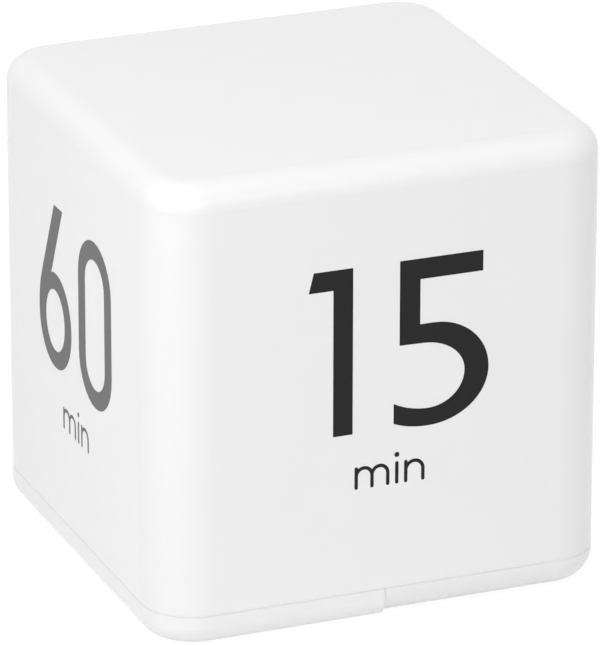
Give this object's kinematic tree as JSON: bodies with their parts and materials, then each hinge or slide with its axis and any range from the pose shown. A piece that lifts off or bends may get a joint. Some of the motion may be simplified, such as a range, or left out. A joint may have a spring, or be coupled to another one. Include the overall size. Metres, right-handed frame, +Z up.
{
  "type": "cube timer",
  "caption": "Cube-shaped countdown timer with a numbered side for each period, tilt switches, a sounder, a power switch and a sliding battery door underneath.",
  "frame": {"origin": "middle of the face that the timer rests on when it is off", "axes": "+Z up, -Y out of the side marked 15, -X out of the side marked 60"},
  "size_m": [0.0636, 0.0636, 0.0635],
  "materials": {
    "white_shell": "satin",
    "cell_sleeve": "satin",
    "contact_steel": "satin",
    "zinc_screw": "satin",
    "sounder_brass": "satin",
    "sounder_ceramic": "satin",
    "foam": "matte",
    "board": "satin",
    "black_resin": "gloss",
    "black_plastic": "satin",
    "tinned_steel": "satin",
    "capacitor_sleeve": "satin",
    "ferrite": "matte",
    "red_sleeve": "satin",
    "black_sleeve": "satin"
  },
  "bodies": {
    "root": {"housing": "white_shell", "base_plate": "white_shell", "cell_outer": "cell_sleeve", "cell_inner": "cell_sleeve", "contact_positive": "contact_steel", "contact_negative": "contact_steel", "contact_bridge": "contact_steel", "spring_negative": "contact_steel", "spring_bridge": "contact_steel", "wire_positive": "red_sleeve", "wire_negative": "black_sleeve", "circuit_board": "board", "timer_chip": "black_resin", "crystal": "tinned_steel", "capacitor": "capacitor_sleeve", "inductor": "ferrite", "resistors": "black_resin", "transistor": "black_resin", "tilt_leads": "tinned_steel", "sounder_ring": "foam", "sounder_plate": "sounder_brass", "sounder_ceramic": "sounder_ceramic", "wire_sounder_plate": "black_sleeve", "wire_sounder_ceramic": "red_sleeve", "switch_frame": "tinned_steel", "switch_base": "black_plastic", "switch_terminals": "tinned_steel", "base_screws": "zinc_screw", "board_screws": "zinc_screw", "tilt_can_right": "tinned_steel", "tilt_plug_right": "black_resin", "tilt_can_back": "tinned_steel", "tilt_plug_back": "black_resin", "tilt_can_left": "tinned_steel", "tilt_plug_left": "black_resin", "tilt_can_front": "tinned_steel", "tilt_plug_front": "black_resin"},
    "battery_door": {"battery_door": "white_shell"},
    "power_switch": {"switch_slider": "black_plastic", "power_knob": "black_plastic"},
    "tilt_ball_right": {"tilt_ball_right": "contact_steel"},
    "tilt_ball_back": {"tilt_ball_back": "contact_steel"},
    "tilt_ball_left": {"tilt_ball_left": "contact_steel"},
    "tilt_ball_front": {"tilt_ball_front": "contact_steel"}
  },
  "joints": [
    {"name": "battery_door_slide", "type": "slide", "parent": "root", "child": "battery_door", "axis": [-1, 0, 0], "range_m": [0, 0.036]},
    {"name": "power_switch_slide", "type": "slide", "parent": "root", "child": "power_switch", "axis": [0, 1, 0], "range_m": [0, 0.002]},
    {"name": "tilt_ball_right_roll", "type": "slide", "parent": "root", "child": "tilt_ball_right", "axis": [-0.9848, 0, 0.1736], "range_m": [0, 0.0022]},
    {"name": "tilt_ball_back_roll", "type": "slide", "parent": "root", "child": "tilt_ball_back", "axis": [0, -0.9848, 0.1736], "range_m": [0, 0.0022]},
    {"name": "tilt_ball_left_roll", "type": "slide", "parent": "root", "child": "tilt_ball_left", "axis": [0.9848, 0, 0.1736], "range_m": [0, 0.0022]},
    {"name": "tilt_ball_front_roll", "type": "slide", "parent": "root", "child": "tilt_ball_front", "axis": [0, 0.9848, 0.1736], "range_m": [0, 0.0022]}
  ]
}
